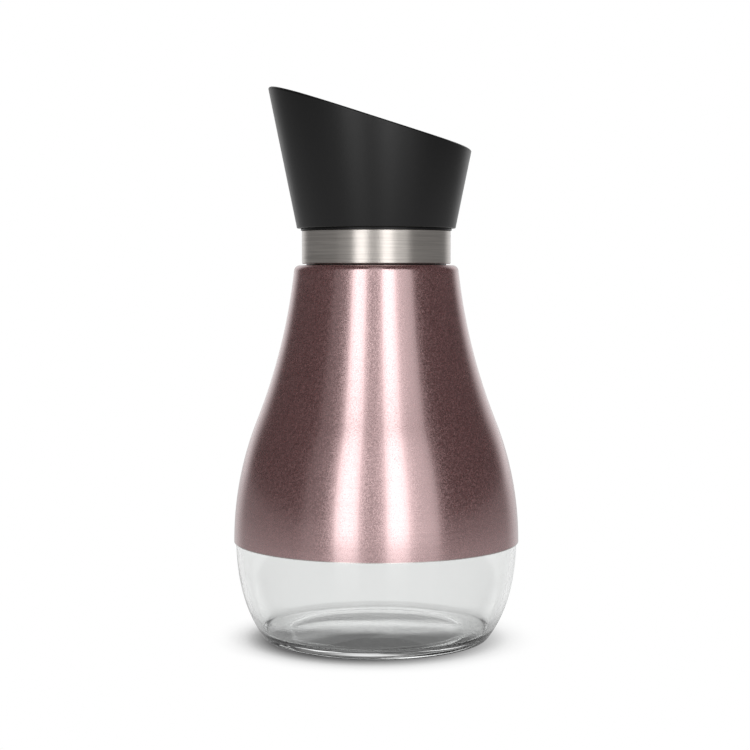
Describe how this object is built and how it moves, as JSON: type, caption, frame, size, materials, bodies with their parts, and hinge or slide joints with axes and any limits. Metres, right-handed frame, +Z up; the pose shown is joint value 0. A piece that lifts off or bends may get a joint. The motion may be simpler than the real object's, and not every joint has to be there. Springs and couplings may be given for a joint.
{
  "type": "oil and vinegar cruet",
  "caption": "Pear-shaped glass cruet in a lacquered steel sleeve, with a screw-on flared spout, a slanting mouth and a flap that opens when tipped.",
  "frame": {"origin": "middle of the base, on the surface that the cruet stands on", "axes": "+Z up along the cruet, -X towards the pouring lip, +Y away from the picture's camera"},
  "size_m": [0.09, 0.09, 0.1733],
  "materials": {
    "clear_glass": "clear, polished",
    "rose_lacquer": "satin metallic lacquer with fine flake",
    "clear_adhesive": "clear, glossy",
    "black_silicone": "matte",
    "grey_silicone": "translucent, matte",
    "black_plastic": "fine satin",
    "brushed_steel": "brushed round the band",
    "polished_steel": "turned, bright"
  },
  "bodies": {
    "bottle": {"glass_bottle": "clear_glass", "steel_sleeve": "rose_lacquer", "sleeve_adhesive": "clear_adhesive", "neck_grommet": "black_silicone"},
    "gasket": {"mouth_gasket": "grey_silicone"},
    "plug_ring": {"plug_seal": "grey_silicone"},
    "head": {"screw_collar": "black_plastic", "steel_band": "brushed_steel", "spout_shell": "black_plastic", "pour_insert": "black_plastic", "insert_seal": "grey_silicone", "hinge_pin": "polished_steel"},
    "flap": {"flap": "black_plastic", "flap_seal": "grey_silicone", "flap_weight": "polished_steel"}
  },
  "joints": [
    {"name": "head_lift_off", "type": "slide", "parent": "bottle", "child": "gasket", "axis": [0, 0, 1], "range_m": [0, 0.04]},
    {"name": "head_rise", "type": "slide", "parent": "gasket", "child": "plug_ring", "axis": [0, 0, 1], "range_m": [0, 0.0038]},
    {"name": "head_turn", "type": "hinge", "parent": "plug_ring", "child": "head", "pos_m": [0, 0, 0.127], "axis": [0, 0, 1], "range_deg": [0, 450]},
    {"name": "flap_hinge", "type": "hinge", "parent": "head", "child": "flap", "pos_m": [0.004, 0, 0.1451], "axis": [0, 1, 0], "range_deg": [0, 65]}
  ],
  "couplings": [
    {"joint": "head_rise", "follows": "head_turn", "m_per_rad": 0.00047746}
  ]
}
